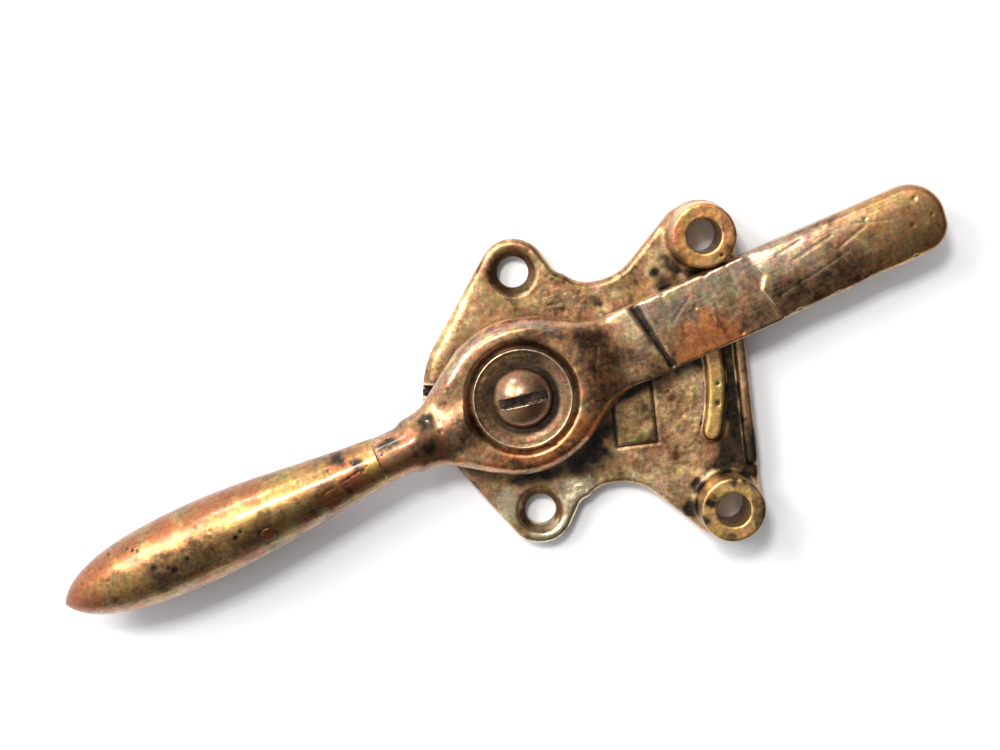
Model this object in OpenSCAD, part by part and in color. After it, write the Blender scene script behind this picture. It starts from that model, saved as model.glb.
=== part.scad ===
// Window fastener: a lever with a nose and a round handle turns on a cast base plate.
// The plate carries the pivot post, a housing for a flat spiral spring, two screw ears,
// two tall screw bosses that are also the lever's stops, and two low rails under the nose.
// Origin: on the pivot axis, at the back face of the plate. +Z leaves the plate, and +X
// points along the plate's centre line from the pivot to the straight edge.

/* [Base plate] */
// Thickness of the plate
plate_t = 4; // [3.8:0.1:4.4]
// Radius of the plate's round end
bulge_r = 17.5; // [16.5:0.1:19]
// Distance from the pivot to the straight edge
edge_x = 40.4; // [40.2:0.1:42]
// Radius that softens the inner corners of the plate's outline
plate_corner_r = 2.5; // [1:0.5:4]
// Radius of the hollow in each long side
valley_r = 10; // [9:0.1:11]
// Centre of that hollow, along the plate
valley_x = 14.8; // [14:0.1:15.5]
// Centre of that hollow, from the centre line
valley_y = 28; // [27:0.1:30]

/* [Ears] */
// Distance of the ear screws past the pivot
ear_x = 1; // [0:0.1:1.5]
// Distance of each ear screw from the centre line
ear_y = 21.3; // [21:0.1:23]
// Outer radius of an ear
ear_r = 5.9; // [5.4:0.1:6.5]
// Radius of an ear screw hole
ear_hole_r = 2.75; // [2.2:0.05:3]
// Radius of the countersink round it
ear_sink_r = 4.3; // [3.8:0.1:4.6]

/* [Bosses] */
// Distance of the bosses past the pivot
boss_x = 34.3; // [34:0.1:35]
// Distance of each boss from the centre line
boss_y = 24.05; // [24:0.05:25]
// Radius of a boss at its top face
boss_top_r = 5.6; // [5:0.1:5.8]
// Radius of a boss just above its flared foot
boss_waist_r = 5.85; // [5.6:0.05:5.85]
// Radius of the flared foot on the plate
boss_foot_r = 7.2; // [6.6:0.1:7.6]
// Height of a boss above the plate's back
boss_h = 11; // [9:0.1:14]
// Radius of a boss screw hole
boss_hole_r = 3; // [2.5:0.05:3.2]

/* [Rails] */
// Height of both rails above the plate's back
rail_top = 5.3; // [4.8:0.1:5.7]
// Radius of the curved rail's middle, about the pivot
rail_r = 34.4; // [33.6:0.1:34.6]
// Width of the curved rail at its top
rail_w = 2.6; // [2:0.1:3]
// Half the angle of the curved rail
rail_half_angle = 18; // [14:0.5:18.5]
// Width of the straight rail at its top
edge_rail_w = 1.4; // [1:0.1:1.8]
// Half the length of the straight rail
edge_rail_half = 16.4; // [13:0.1:17]

/* [Pivot] */
// Radius of the post that the lever turns on
post_r = 5; // [4.6:0.05:5.05]
// Radial gap between the post and the bush
run_gap = 0.05; // [0.02:0.01:0.1]
// Wall of the bush pressed into the lever
bush_wall = 1.15; // [1:0.05:1.3]
// Radius of the screw's shank
shank_r = 3.05; // [2.5:0.05:3.3]
// Radius of the screw's head
head_r = 5.4; // [5:0.1:5.8]
// Height of the screw's head
head_h = 3.2; // [2.6:0.1:3.6]
// Width of the driver slot
slot_w = 1.7; // [1.2:0.1:2]
// Depth of the driver slot
slot_depth = 1.6; // [1:0.1:2]
// Direction of the driver slot
slot_angle = 7; // [0:1:180]
// Outer radius of the cup washer
cup_r = 8.65; // [8.2:0.05:9]

/* [Spring] */
// Inner radius of the spring housing
housing_r = 13; // [12.6:0.1:13.2]
// Thickness of the floor under the housing
floor_t = 1.8; // [1.4:0.1:2]
// Direction of the slot in the plate's rim where the spring is anchored
anchor_angle = 172; // [165:1:178]
// Width of that slot
anchor_w = 1.8; // [1.4:0.1:2.2]
// Thickness of the spring strip
strip_t = 0.6; // [0.4:0.05:0.7]
// Height of the spring strip
strip_h = 2.2; // [1.6:0.1:2.3]
// Whole turns of the spring, counted at its anchor
spring_turns = 3; // [2:1:3]

/* [Lever] */
// Angle of the lever to the plate's centre line as it rests on its stop
rest_angle = 17.7; // [17:0.1:17.7]
// Height of the lever's underside
lever_z = 6; // [5.9:0.05:6.3]
// Radius of the hub
hub_r = 13.5; // [13.3:0.1:14.5]
// Height of the hub at its middle
hub_h = 6.2; // [5.8:0.1:6.8]
// Radius of the shallow recess in the hub's top
recess_r = 10.7; // [10:0.1:11.2]
// Depth of that recess
recess_depth = 0.8; // [0.5:0.1:1]
// Half the width of the nose
nose_half = 6.6; // [6:0.05:6.6]
// Reach of the nose from the pivot
nose_len = 79.9; // [70:0.1:90]
// Thickness of the nose
nose_t = 4.9; // [4:0.1:5.3]
// Radius of the nose's crowned top, across the bar
crown_r = 20; // [16:1:40]

/* [Handle] */
// Height of the handle's axis
handle_z = 9.3; // [8.9:0.1:10]
// Radius of the neck
neck_r = 4.2; // [3.8:0.1:4.3]
// Distance from the pivot to the joint of neck and grip
joint_x = 27; // [26:0.5:28]
// Distance from the pivot to the grip's thickest place
grip_mid_x = 62.6; // [60:0.2:65]
// Distance from the pivot to the grip's tip
grip_end_x = 87.9; // [84:0.1:92]
// Greatest radius of the grip
grip_r = 7.2; // [6.4:0.05:7.4]
// Radius of the tang inside the grip
tang_r = 2.6; // [2:0.1:3]
// Distance from the pivot to the tang's end
tang_end_x = 56; // [54:0.5:60]
// Radius of the cross pin through grip and tang
pin_r = 1.35; // [0.8:0.05:1.6]
// Distance from the pivot to the cross pin
pin_x = 49.5; // [46:0.5:52]
// Lean of the cross pin from upright, about the handle's axis
pin_lean = 27; // [0:1:60]

/* [Hidden] */
$fn = 64;

over = 0.01;                        // overlap that keeps joined shapes one solid
fit_gap = 0.03;                     // radial gap of a pressed or glued fit
draft = 0.5;                        // how much wider a rail is at its foot
boss_flare_h = 1.2;                 // height of the flare at a boss's foot
boss_margin = 0.25;                 // how far the plate's outline stays outside a boss's waist
flare_shift = 0.72;                 // how far inwards the circle that trims a flare lies
flare_reach = 6.8;                  // radius of that circle
flare_bite = 0.5;                   // how deep the flare starts inside the plate
boss_edge = 0.3;                    // bevel round a boss's top
hub_top = lever_z + hub_h;
bush_r = post_r + run_gap + bush_wall;
collar_r = bush_r + 1.2;            // outer radius of the collar under the hub
washer_t = 1;                       // thickness of the thrust washer
collar_z = floor_t + washer_t + 0.1;
recess_z = hub_top - recess_depth;
post_top = recess_z + 0.15;         // the cup washer clears the lever by this much
cup_seat_t = 0.9;
head_z = post_top + cup_seat_t;
thread_z = floor_t + 0.4;           // bottom of the screw's hole in the post
strip_z = floor_t + 0.3;
hook_angle = 270;                   // direction of the spring's inner hook from the pivot
coil_r0 = collar_r + 0.7;
coil_r1 = housing_r - 0.9;
coil_end = anchor_angle + 360 * spring_turns;
coil_steps = 72;

// ---- base plate ----

module both_sides() {
    children();
    mirror([0, 1, 0]) children();
}

// Hollow between an ear and a boss: a round bottom and a straight flank up to the boss.
module valley() {
    hull() {
        translate([valley_x, valley_y]) circle(valley_r);
        translate([valley_x + 12, valley_y + 12]) circle(valley_r);
    }
}

module plate_outline() {
    intersection() {
        offset(-plate_corner_r) offset(plate_corner_r) {
            hull() {
                circle(bulge_r);
                both_sides() translate([ear_x, ear_y]) circle(ear_r);
            }
            difference() {
                hull() {
                    circle(bulge_r);
                    both_sides() translate([boss_x, boss_y]) circle(boss_waist_r + boss_margin);
                }
                both_sides() valley();
            }
        }
        translate([edge_x - 100, -50]) square([100, 100]);
    }
}

// Tapered post. Its foot flares out onto the plate, but not on the side where the plate ends.
module boss() {
    translate([boss_x, boss_y, 0]) {
        rotate_extrude() polygon([
            [0, plate_t - 1],
            [boss_waist_r, plate_t - 1],
            [boss_waist_r, plate_t + boss_flare_h],
            [boss_top_r, boss_h - boss_edge],
            [boss_top_r - boss_edge, boss_h],
            [0, boss_h],
        ]);
        translate([0, 0, plate_t - flare_bite]) intersection() {
            cylinder(h = boss_flare_h + 0.4, r1 = boss_foot_r, r2 = boss_waist_r - 0.1);
            translate([-flare_shift, -flare_shift]) cylinder(h = boss_flare_h + 2, r = flare_reach);
        }
    }
}

// Section of a rail: flat top, sloping flanks.
module rail_section(width) {
    polygon([
        [-width / 2 - draft, plate_t - over],
        [width / 2 + draft, plate_t - over],
        [width / 2, rail_top],
        [-width / 2, rail_top],
    ]);
}

module rail_end(width) {
    translate([0, 0, plate_t - over])
        cylinder(h = rail_top - plate_t + over, r1 = width / 2 + draft, r2 = width / 2);
}

module curved_rail() {
    rotate([0, 0, -rail_half_angle])
        rotate_extrude(angle = 2 * rail_half_angle)
            translate([rail_r, 0]) rail_section(rail_w);
    for (side = [-1, 1])
        rotate([0, 0, side * rail_half_angle]) translate([rail_r, 0, 0]) rail_end(rail_w);
}

module straight_rail() {
    translate([edge_x - edge_rail_w / 2 - draft, 0, 0]) {
        rotate([90, 0, 0])
            translate([0, 0, -edge_rail_half])
                linear_extrude(2 * edge_rail_half) rail_section(edge_rail_w);
        both_sides() translate([0, edge_rail_half, 0]) rail_end(edge_rail_w);
    }
}

module ear_hole() {
    sink_depth = ear_sink_r - ear_hole_r;
    translate([0, 0, -1]) cylinder(h = plate_t + 2, r = ear_hole_r);
    translate([0, 0, plate_t - sink_depth])
        cylinder(h = sink_depth + over, r1 = ear_hole_r, r2 = ear_sink_r + over);
}

// Room for the spring, with a slot out through the rim for its tail.
module housing() {
    translate([0, 0, floor_t]) cylinder(h = plate_t, r = housing_r);
    rotate([0, 0, anchor_angle])
        translate([housing_r - 1, -anchor_w / 2, strip_z - 0.1])
            cube([bulge_r, anchor_w, plate_t]);
}

module base_plate() {
    color("#8a7242") difference() {
        union() {
            difference() {
                linear_extrude(plate_t) plate_outline();
                housing();
            }
            translate([0, 0, floor_t - 1]) cylinder(h = post_top - floor_t + 1, r = post_r);
            both_sides() boss();
            curved_rail();
            straight_rail();
        }
        both_sides() translate([ear_x, ear_y, 0]) ear_hole();
        both_sides() translate([boss_x, boss_y, -1]) cylinder(h = boss_h + 2, r = boss_hole_r);
        translate([0, 0, thread_z]) cylinder(h = post_top, r = shank_r + fit_gap);
    }
}

// ---- pieces on the post ----

module pivot_screw() {
    dome_r = (head_r * head_r + head_h * head_h) / (2 * head_h);
    color("#6e4a34") difference() {
        union() {
            translate([0, 0, thread_z + 0.3]) cylinder(h = head_z - thread_z, r = shank_r);
            translate([0, 0, head_z]) intersection() {
                cylinder(h = head_h, r = head_r);
                translate([0, 0, head_h - dome_r]) sphere(dome_r, $fn = 96);
            }
        }
        rotate([0, 0, slot_angle])
            translate([-2 * head_r, -slot_w / 2, head_z + head_h - slot_depth])
                cube([4 * head_r, slot_w, head_h]);
    }
}

module cup_washer() {
    rim_h = 1.5;
    color("#8f7a50") rotate_extrude() translate([0, post_top]) polygon([
        [shank_r + 0.1, 0],
        [cup_r - 0.4, 0],
        [cup_r, 0.4],
        [cup_r, rim_h],
        [cup_r - 0.35, rim_h],
        [head_r + 1.2, cup_seat_t],
        [shank_r + 0.1, cup_seat_t],
    ]);
}

module thrust_washer() {
    color("#b08d57") translate([0, 0, floor_t]) difference() {
        cylinder(h = washer_t, r = bush_r + 0.1);
        translate([0, 0, -1]) cylinder(h = washer_t + 2, r = post_r + 0.15);
    }
}

// The spring's middle line: hook in the collar, spiral, tail in the rim's slot.
function on_ray(angle, radius) = radius * [cos(angle), sin(angle)];
function spring_line() = concat(
    [on_ray(hook_angle, bush_r + 0.3)],
    [for (i = [0 : coil_steps]) on_ray(
        hook_angle + (coil_end - hook_angle) * i / coil_steps,
        coil_r0 + (coil_r1 - coil_r0) * i / coil_steps
    )],
    [on_ray(anchor_angle, bulge_r - 0.1)]
);
// The line moved sideways by shift, at right angles to its own direction.
function beside(line, shift) = [
    for (i = [0 : len(line) - 1])
        let (
            step = line[min(i + 1, len(line) - 1)] - line[max(i - 1, 0)],
            along = step / norm(step)
        )
        line[i] + shift * [-along[1], along[0]]
];
function reversed(points) = [for (i = [len(points) - 1 : -1 : 0]) points[i]];

module return_spring() {
    line = spring_line();
    color("#3c3a38") translate([0, 0, strip_z]) linear_extrude(strip_h)
        polygon(concat(beside(line, -strip_t / 2), reversed(beside(line, strip_t / 2))));
}

// ---- lever ----

module nose_outline() {
    hull() {
        translate([0, -nose_half]) square([nose_len * 0.6, 2 * nose_half]);
        translate([nose_len - 6.2, 0.2]) circle(6.2 - 0.2, $fn = 32);
        translate([nose_len - 5, -1.9]) circle(4.6, $fn = 32);
    }
}

module lever_outline() {
    nose_fillet_r = 7;
    neck_fillet_r = 11;
    offset(-nose_fillet_r) offset(nose_fillet_r) {
        circle(hub_r);
        translate([0, -nose_half]) square([nose_len / 2, 2 * nose_half]);
    }
    offset(-neck_fillet_r) offset(neck_fillet_r) {
        circle(hub_r);
        translate([-joint_x + 4, -neck_r + 0.4]) square([joint_x, 2 * neck_r - 0.8]);
    }
}

// Bar of the nose's section, along +X: flat underside, crowned top, square sides.
module crowned_bar(from_x, to_x) {
    translate([from_x, 0, lever_z])
        rotate([90, 0, 90])
            linear_extrude(to_x - from_x)
                intersection() {
                    translate([-nose_half - 5, 0]) square([2 * nose_half + 10, nose_t]);
                    translate([0, nose_t - crown_r]) circle(crown_r);
                }
}

module hub() {
    rotate_extrude() polygon([
        [0, lever_z],
        [hub_r, lever_z],
        [hub_r, hub_top - 2],
        [hub_r - 0.5, hub_top - 1],
        [hub_r - 1.4, hub_top - 0.3],
        [recess_r, hub_top],
        [0, hub_top],
    ]);
}

module tang() {
    rotate([0, -90, 0]) cylinder(h = tang_end_x, r = tang_r);
}

module pin_place(height, radius) {
    translate([-pin_x, 0, handle_z])
        rotate([pin_lean, 0, 0]) cylinder(h = height, r = radius, center = true);
}

module lever() {
    color("#83684a") rotate([0, 0, rest_angle]) difference() {
        union() {
            hub();
            translate([0, 0, collar_z]) cylinder(h = lever_z - collar_z + over, r = collar_r);
            intersection() {
                crowned_bar(hub_r - 3, nose_len + 1);
                linear_extrude(20) union() {
                    nose_outline();
                    lever_outline();
                }
            }
            translate([0, 0, lever_z]) linear_extrude(nose_t) intersection() {
                lever_outline();
                translate([-joint_x + 4, -hub_r]) square([2 * joint_x - 8, 2 * hub_r]);
            }
            translate([0, 0, handle_z]) {
                rotate([0, -90, 0]) cylinder(h = joint_x, r = neck_r);
                tang();
            }
        }
        translate([0, 0, collar_z - 1]) cylinder(h = 20, r = bush_r + fit_gap);
        translate([0, 0, recess_z]) cylinder(h = 20, r = recess_r);
        rotate([0, 0, hook_angle - rest_angle])
            translate([bush_r - 0.5, -strip_t, collar_z - 1])
                cube([3, 2 * strip_t, lever_z - collar_z + 0.6]);
        pin_place(30, pin_r + fit_gap);
    }
}

module hub_bush() {
    color("#a5824c") difference() {
        translate([0, 0, collar_z]) cylinder(h = recess_z - collar_z, r = bush_r);
        translate([0, 0, collar_z - 1]) cylinder(h = 20, r = post_r + run_gap);
    }
}

// ---- grip ----

// Point at t on the cubic curve with four control points.
function bezier(p, t) =
    pow(1 - t, 3) * p[0] + 3 * t * pow(1 - t, 2) * p[1] + 3 * t * t * (1 - t) * p[2]
    + pow(t, 3) * p[3];
function curve(p, steps) = [for (i = [0 : steps]) bezier(p, i / steps)];

// Half outline of the grip as [radius, distance from the pivot].
module grip_section() {
    swell = curve([
        [neck_r + 0.1, joint_x],
        [neck_r + 0.8, joint_x + 11],
        [grip_r, grip_mid_x - 12.6],
        [grip_r, grip_mid_x],
    ], 16);
    nose = curve([
        [grip_r, grip_mid_x],
        [grip_r, grip_mid_x + 12.4],
        [grip_r * 0.72, grip_end_x - 2.6],
        [0, grip_end_x],
    ], 16);
    polygon(concat([[0, joint_x]], swell, [for (i = [1 : 16]) nose[i]]));
}

module handle_grip() {
    color("#b07f3c") rotate([0, 0, rest_angle]) difference() {
        translate([0, 0, handle_z]) rotate([0, -90, 0]) rotate_extrude() grip_section();
        translate([0, 0, handle_z]) rotate([0, -90, 0])
            cylinder(h = tang_end_x + 0.5, r = tang_r + fit_gap);
        pin_place(30, pin_r + fit_gap);
    }
}

module grip_pin() {
    // The pin's domed ends follow the grip.
    color("#8a5a32") rotate([0, 0, rest_angle]) intersection() {
        pin_place(30, pin_r);
        translate([0, 0, handle_z]) rotate([0, -90, 0]) rotate_extrude() grip_section();
    }
}

base_plate();
pivot_screw();
cup_washer();
return_spring();
thrust_washer();
lever();
hub_bush();
handle_grip();
grip_pin();
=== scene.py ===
"""An old brass window fastener, worn and grimy, on a white sheet of paper.

Every cast piece is a smooth signed distance field, meshed here on a fine grid, so that its
edges are rounded and its shoulders run into each other as on a casting. All lengths in the
fields are millimetres in the CAD frame. The lever's fields lie along its own axis, +X
towards the nose, and are turned to its resting angle at the end.
"""
from math import cos, hypot, pi, radians, sin, sqrt

import bpy
import numpy as np
from mathutils import Euler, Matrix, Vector


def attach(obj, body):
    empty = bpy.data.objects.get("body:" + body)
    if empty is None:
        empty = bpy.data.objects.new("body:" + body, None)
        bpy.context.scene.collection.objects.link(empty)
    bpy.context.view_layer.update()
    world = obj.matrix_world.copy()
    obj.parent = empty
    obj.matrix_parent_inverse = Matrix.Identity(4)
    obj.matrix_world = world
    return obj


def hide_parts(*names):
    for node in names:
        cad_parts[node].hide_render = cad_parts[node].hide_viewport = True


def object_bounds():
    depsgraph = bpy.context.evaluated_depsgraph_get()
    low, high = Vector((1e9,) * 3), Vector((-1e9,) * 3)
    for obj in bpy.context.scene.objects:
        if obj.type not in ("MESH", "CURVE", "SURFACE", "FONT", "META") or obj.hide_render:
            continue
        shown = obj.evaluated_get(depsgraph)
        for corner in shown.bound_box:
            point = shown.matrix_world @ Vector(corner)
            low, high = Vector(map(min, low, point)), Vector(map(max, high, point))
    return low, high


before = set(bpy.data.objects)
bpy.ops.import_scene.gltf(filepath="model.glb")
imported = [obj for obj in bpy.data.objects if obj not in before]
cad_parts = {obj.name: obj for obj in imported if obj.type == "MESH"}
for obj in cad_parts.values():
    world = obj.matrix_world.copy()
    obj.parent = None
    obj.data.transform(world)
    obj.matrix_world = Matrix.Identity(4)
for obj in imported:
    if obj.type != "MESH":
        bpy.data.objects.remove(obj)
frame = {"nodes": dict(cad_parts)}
cad_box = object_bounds()

MM = 0.001
DRAW_ROUNDS = 3                     # how often a mesh's points are drawn onto the true surface

# ---- sizes, in millimetres, as in the CAD ----

PLATE_T = 4.0
BULGE_R = 17.5
EAR_FILLET, EDGE_FILLET = 2.5, 0.35
RIM_R, RIM_BULGE_R = 1.1, 2.1       # edge radius of the rim, by the bosses and round the bulge
EDGE_X = 40.4
EAR = (1.0, 21.3, 5.9)              # x, y and outer radius
EAR_HOLE_R, EAR_SINK_R = 2.75, 4.3
BOSS = (34.3, 24.05)
BOSS_TOP_R, BOSS_WAIST_R, BOSS_FLARE, BOSS_H, BOSS_HOLE_R = 5.6, 5.85, 1.35, 11.0, 3.0
BOSS_OUTLINE_R, BOSS_WAIST_Z = 6.1, 5.2
VALLEY = (14.8, 28.0, 10.0)
RAIL_TOP, RAIL_DRAFT, RAIL_EDGE, RAIL_FOOT = 5.3, 0.385, 0.4, 0.3
CURVED_RAIL_R, CURVED_RAIL_HALF_W, CURVED_RAIL_ANGLE = 34.4, 1.3, radians(18)
EDGE_RAIL_X, EDGE_RAIL_HALF_W, EDGE_RAIL_HALF = 39.2, 0.7, 16.4
HOUSING_R, FLOOR_T = 13.0, 1.8
ANCHOR_ANGLE, ANCHOR_W = radians(172), 1.8
POST_R, POST_TOP = 5.0, 11.55
SHANK_R, SHANK_BOTTOM = 3.05, 2.5
HEAD_R, HEAD_H, HEAD_Z = 5.4, 3.2, 12.45
SLOT_W, SLOT_DEPTH, SLOT_ANGLE = 1.7, 1.6, radians(7)
CUP_R, CUP_SEAT_T, CUP_RIM_H = 8.65, 0.9, 1.5

REST = radians(17.7)                # the lever's angle as it rests on its stop
LEVER_Z = 6.0
HUB_R, HUB_TOP = 13.5, 12.2
DISH_FLAT_R, DISH_EDGE_R, DISH_DEPTH = 8.9, 10.4, 0.8
NOSE_HALF, NOSE_LEN, NOSE_T, CROWN_R = 6.6, 79.9, 4.9, 20.0
COLLAR_R, COLLAR_Z = 7.4, 2.9
BORE_R = 6.23
HUB_FILLET, WEB_FILLET, NECK_FILLET = 7, 11, 3.2
NECK_START, WEB_END, TANG_START = 12, 20, 20    # distances from the pivot towards the grip
HANDLE_Z, NECK_R, JOINT_X = 9.3, 4.2, 27.0
NECK_INSIDE = 0.3                   # how far the neck's end reaches into the grip
TANG_R, TANG_END = 2.6, 56.0
GRIP_R, GRIP_MID, GRIP_END = 7.2, 62.6, 87.9
PIN_R, PIN_X, PIN_LEAN = 1.35, 49.5, radians(27)

# The box that each field is meshed in, as two corners, and the grid's step.
PLATE_SPACE = (-18, -31.6, 0), (40.6, 31.6, 11.7), 0.29
LEVER_SPACE = (-56, -14.2, COLLAR_Z), (80, 14.2, 13.5), 0.27
PIN_SPACE = (-1.5, -1.5, -7.4), (1.5, 1.5, 7.4), 0.14
SCREW_SPACE = (-5.6, -5.6, SHANK_BOTTOM), (5.6, 5.6, 15.7), 0.14


# ---- distance fields ----

def smooth(value, low, high):
    """From 0 at low to 1 at high, level at both ends."""
    t = np.clip((value - low) / (high - low), 0, 1)
    return t * t * (3 - 2 * t)


def join(a, b, r):
    """Union of two fields with a fillet of radius r."""
    round_part = np.sqrt(np.maximum(r - a, 0) ** 2 + np.maximum(r - b, 0) ** 2)
    return np.maximum(r, np.minimum(a, b)) - round_part


def meet(a, b, r):
    """Intersection of two fields with an edge of radius r."""
    return -join(-a, -b, r)


def cut(a, b, r):
    """Field a without b, with an edge of radius r."""
    return -join(-a, b, r)


def tapered(x, y, start, start_r, end, end_r):
    """Plane field of the hull of two circles."""
    span = hypot(end[0] - start[0], end[1] - start[1])
    ux, uy = (end[0] - start[0]) / span, (end[1] - start[1]) / span
    px, py = x - start[0], y - start[1]
    along, side = px * ux + py * uy, np.abs(py * ux - px * uy)
    b = (start_r - end_r) / span
    a = sqrt(1 - b * b)
    k = a * along - b * side
    return np.where(
        k < 0, np.hypot(side, along) - start_r,
        np.where(k > a * span, np.hypot(side, along - span) - end_r, side * a + along * b - start_r),
    )


def segment(x, y, start, end):
    """Distance in the plane from a straight line between two points, and the share along it."""
    dx, dy = end[0] - start[0], end[1] - start[1]
    t = np.clip(((x - start[0]) * dx + (y - start[1]) * dy) / (dx * dx + dy * dy), 0, 1)
    return np.hypot(x - start[0] - t * dx, y - start[1] - t * dy), t


def noise(points, size, seed):
    """Smooth random values from -1 to 1 at points, with one cell per size."""
    table = np.random.RandomState(seed).uniform(-1, 1, (32, 32, 32))
    scaled = points / size + 7.3 * seed
    whole = np.floor(scaled).astype(int)
    part = scaled - whole
    part = part * part * (3 - 2 * part)
    total = 0
    for corner in np.ndindex(2, 2, 2):
        at = (whole + corner) % 32
        weight = np.prod(np.where(corner, part, 1 - part), axis=1)
        total = total + weight * table[at[:, 0], at[:, 1], at[:, 2]]
    return total


def layers(points, size, seed, count=3):
    """Noise with finer and weaker copies of itself."""
    return sum(noise(points, size / 2 ** i, seed + i) / 1.8 ** i for i in range(count)) / 1.6


# ---- meshing ----

def surface_nets(field, low, high, step):
    """Vertices and quads of the surface where field is zero."""
    axes = [np.arange(a - 1.5 * step, b + 2.5 * step, step) for a, b in zip(low, high)]
    grid = np.meshgrid(*axes, indexing="ij", sparse=True)
    values = np.broadcast_to(field(*grid), [len(a) for a in axes]).astype(np.float32)
    cells = np.array(values.shape) - 1
    inside = values < 0
    found, spots, edges = [], [], []
    for axis in range(3):
        second, third = (axis + 1) % 3, (axis + 2) % 3
        lower = [slice(None)] * 3
        upper = [slice(None)] * 3
        lower[axis], upper[axis] = slice(None, -1), slice(1, None)
        index = np.argwhere(inside[tuple(lower)] != inside[tuple(upper)])
        nearer = values[tuple(index.T)]
        beyond = index.copy()
        beyond[:, axis] += 1
        farther = values[tuple(beyond.T)]
        spot = index.astype(float)
        spot[:, axis] += nearer / (nearer - farther)
        around = []
        for back_second, back_third in ((1, 1), (0, 1), (0, 0), (1, 0)):
            cell = index.copy()
            cell[:, second] -= back_second
            cell[:, third] -= back_third
            around.append((cell[:, 0] * cells[1] + cell[:, 1]) * cells[2] + cell[:, 2])
        edges.append((np.stack(around, axis=1), nearer < 0))
        for one in around:
            found.append(one)
            spots.append(spot)
    found, spots = np.concatenate(found), np.concatenate(spots)
    used, place = np.unique(found, return_inverse=True)
    count = np.bincount(place)
    points = np.stack([np.bincount(place, spots[:, i]) / count for i in range(3)], axis=1)
    points = points * step + [a[0] for a in axes]
    faces = []
    for around, outward in edges:
        quad = np.searchsorted(used, around)
        faces.append(np.where(outward[:, None], quad, quad[:, ::-1]))
    return points, np.concatenate(faces)


def slope(field, points, reach=0.04):
    """The field and its unit gradient at points."""
    x, y, z = points.T
    value = field(x, y, z)
    g = np.stack([
        field(x + reach, y, z) - field(x - reach, y, z),
        field(x, y + reach, z) - field(x, y - reach, z),
        field(x, y, z + reach) - field(x, y, z - reach),
    ], axis=1)
    return value, g / np.maximum(np.linalg.norm(g, axis=1, keepdims=True), 1e-9)


def cast(field, low, high, step):
    """Points, faces and outward normals of a field's surface, drawn onto the true surface."""
    points, faces = surface_nets(field, low, high, step)
    for _ in range(DRAW_ROUNDS):
        value, normal = slope(field, points)
        points = points - normal * np.clip(value, -step / 2, step / 2)[:, None]
    return points, faces, slope(field, points)[1]


def hollow(field, points, normal, reach):
    """From 0 in the open to 1 in a tight corner: how near other metal is along the normal."""
    out = points + normal * reach
    return np.clip(1 - field(*out.T) / reach, 0, 1)


def ridge(field, points, normal, reach):
    """From 0 on a flat face to about 1 on an edge much sharper than reach."""
    below = points - normal * reach
    return np.clip(1.6 * (field(*below.T) / reach + 1), 0, 1)


def build(name, points, faces, body, nodes, masks=None, turned=False):
    """A mesh piece from points in millimetres. The lever's pieces are turned to rest."""
    if turned:
        c, s = cos(REST), sin(REST)
        x, y = points[:, 0].copy(), points[:, 1].copy()
        points = np.stack([c * x - s * y, s * x + c * y, points[:, 2]], axis=1)
    points = np.clip(points, *(np.array(corner) / MM for corner in cad_box))
    mesh = bpy.data.meshes.new(name)
    mesh.from_pydata((points * MM).tolist(), [], [list(map(int, f)) for f in faces])
    mesh.validate()
    mesh.shade_smooth()
    for key, value in (masks or {}).items():
        layer = mesh.attributes.new(key, "FLOAT", "POINT")
        layer.data.foreach_set("value", np.clip(value, 0, 1).astype(np.float32))
    piece = bpy.data.objects.new(name, mesh)
    bpy.context.scene.collection.objects.link(piece)
    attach(piece, body)
    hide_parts(*nodes)
    return piece


def spots(points, places, ragged=0.5):
    """A mask of ragged patches, each given as a point and a radius."""
    mask = np.zeros(len(points))
    wide = points if points.shape[1] == 3 else np.c_[points, points[:, :1] * 0]
    uneven = ragged * (layers(wide, 2.4, 91) + 0.7 * layers(wide, 1.0, 97))
    for *place, radius in places:
        gap = np.linalg.norm(points[:, : len(place)] - place, axis=1) / radius
        mask = np.maximum(mask, 1 - smooth(gap + uneven, 0.2, 1.7))
    return mask


def pits(points, places):
    """How deep small round pits go at each point. A place is x, y, z, radius and depth."""
    depth = np.zeros(len(points))
    uneven = 0.35 * noise(points, 0.7, 93)
    for x, y, z, radius, deep in places:
        gap = np.linalg.norm(points - (x, y, z), axis=1) / radius + uneven
        depth = np.maximum(depth, deep * (1 - smooth(gap, 0.2, 1.1)))
    return depth


# ---- base plate ----

def plate_outline(x, y):
    """The plate seen from above: two ears, a bulge round the post and a flank out to each boss."""
    y = np.abs(y)
    ear = tapered(x, y, (0, 0), BULGE_R, EAR[:2], EAR[2])
    # The bosses' part starts from a smaller circle, so that the two parts cross and never run level.
    flank = tapered(x, y, (0, 0), BULGE_R - 4, BOSS, BOSS_OUTLINE_R)
    middle = np.maximum(x - BOSS[0] - BOSS_OUTLINE_R, (BOSS[0] * y - BOSS[1] * x) / hypot(*BOSS))
    middle = np.maximum(middle, y - BOSS[1])
    valley = tapered(x, y, VALLEY[:2], VALLEY[2], (VALLEY[0] + 12, VALLEY[1] + 12), VALLEY[2])
    body = np.maximum(np.minimum(flank, middle), -valley)
    return np.maximum(join(ear, body, EAR_FILLET), x - EDGE_X)


def rail(gap, half_w, z):
    """A raised rail with sloping sides: gap is the distance from its middle line."""
    flank = gap - half_w - RAIL_DRAFT * (RAIL_TOP - z)
    return np.maximum(meet(flank, z - RAIL_TOP, RAIL_EDGE), PLATE_T - 1 - z)


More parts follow.
